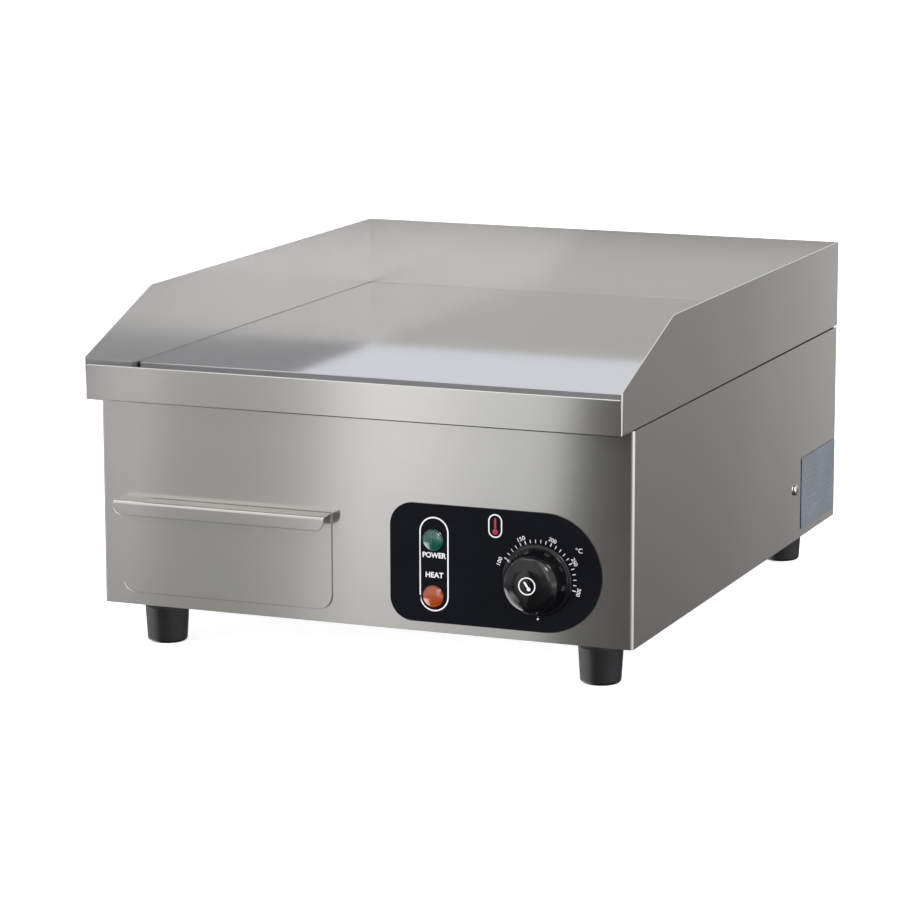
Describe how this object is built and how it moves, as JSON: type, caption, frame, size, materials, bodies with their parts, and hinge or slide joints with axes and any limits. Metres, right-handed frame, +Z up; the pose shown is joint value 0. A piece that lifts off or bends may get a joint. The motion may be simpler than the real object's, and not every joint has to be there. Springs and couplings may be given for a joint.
{
  "type": "flat top griddle",
  "caption": "Countertop electric griddle: thick polished plate in a three-sided splash surround with a front grease trough, pull-out drawer, dial thermostat and pilot lamps.",
  "frame": {"origin": "on the ground, under the middle of the bounding box", "axes": "+Z up, the control panel faces -Y, +X to the user's right as they face the panel"},
  "size_m": [0.4042, 0.522, 0.2502],
  "materials": {
    "stainless_brushed": "brushed stainless sheet, fine straight grain",
    "plate_polished": "mirror-polished chromed cooking surface",
    "silicone_black": "matte black silicone",
    "element_sheath": "heat-darkened nickel alloy tube",
    "galvanised": "zinc-coated sheet with faint spangle",
    "zinc_plated": "bright zinc",
    "screw_bright": "polished stainless",
    "rubber_black": "satin moulded rubber",
    "overlay_black": "satin black printed film on a plate",
    "knob_black": "glossy black",
    "lens_green": "translucent green, faceted inside",
    "lens_amber": "translucent amber, faceted inside",
    "plastic_black": "moulded nylon",
    "phenolic": "brown phenolic",
    "copper": "drawn copper tube",
    "ceramic_white": "unglazed steatite",
    "ceramic_fibre": "soft ceramic fibre blanket",
    "button_red": "moulded red",
    "label_silver": "printed silver foil",
    "wire_red": "silicone insulation",
    "wire_blue": "silicone insulation",
    "wire_white": "silicone insulation"
  },
  "bodies": {
    "griddle": {"base_plate": "galvanised", "body_wrap": "stainless_brushed", "bonding_nut": "zinc_plated", "bonding_stud": "zinc_plated", "cable_gland": "plastic_black", "clamp_bolt_1": "zinc_plated", "clamp_bolt_2": "zinc_plated", "clamp_bolt_3": "zinc_plated", "clamp_bolt_4": "zinc_plated", "control_overlay": "overlay_black", "cutout_body": "phenolic", "cutout_bushing": "zinc_plated", "cutout_probe": "copper", "drain_spout": "stainless_brushed", "drawer_rail_left": "galvanised", "drawer_rail_right": "galvanised", "element_clamp_front": "galvanised", "element_clamp_rear": "galvanised", "foot_front_left": "rubber_black", "foot_front_right": "rubber_black", "foot_rear_left": "rubber_black", "foot_rear_right": "rubber_black", "foot_screw_front_left": "zinc_plated", "foot_screw_front_right": "zinc_plated", "foot_screw_rear_left": "zinc_plated", "foot_screw_rear_right": "zinc_plated", "gland_cap": "plastic_black", "gland_locknut": "plastic_black", "griddle_plate": "plate_polished", "heat_lamp": "plastic_black", "heat_lens": "lens_amber", "heat_shield": "galvanised", "heating_element_left": "element_sheath", "heating_element_right": "element_sheath", "insulation_mat": "ceramic_fibre", "power_lamp": "plastic_black", "power_lens": "lens_green", "rating_label": "label_silver", "rear_panel": "stainless_brushed", "rear_screw_1": "screw_bright", "rear_screw_2": "screw_bright", "rear_screw_3": "screw_bright", "rear_screw_4": "screw_bright", "side_screw_left": "screw_bright", "side_screw_right": "screw_bright", "splash_surround": "stainless_brushed", "surround_gasket": "silicone_black", "terminal_block": "ceramic_white", "thermostat_body": "phenolic", "thermostat_probe": "copper", "wire_heater_left": "wire_white", "wire_heater_right": "wire_blue", "wire_thermostat": "wire_red"},
    "grease_drawer": {"drawer_front": "stainless_brushed", "drawer_pan": "stainless_brushed"},
    "thermostat_knob": {"control_knob": "knob_black", "thermostat_shaft": "zinc_plated"},
    "reset_pin": {"reset_button": "button_red"}
  },
  "joints": [
    {"name": "drawer_slide", "type": "slide", "parent": "griddle", "child": "grease_drawer", "axis": [0, -1, 0], "range_m": [0, 0.15]},
    {"name": "knob_turn", "type": "hinge", "parent": "griddle", "child": "thermostat_knob", "pos_m": [0.1316, -0.2484, 0.0758], "axis": [0, -1, 0], "range_deg": [-161, 121]},
    {"name": "reset_press", "type": "slide", "parent": "griddle", "child": "reset_pin", "axis": [0, -1, 0], "range_m": [0, 0.002], "stiffness_N_per_m": 500}
  ]
}
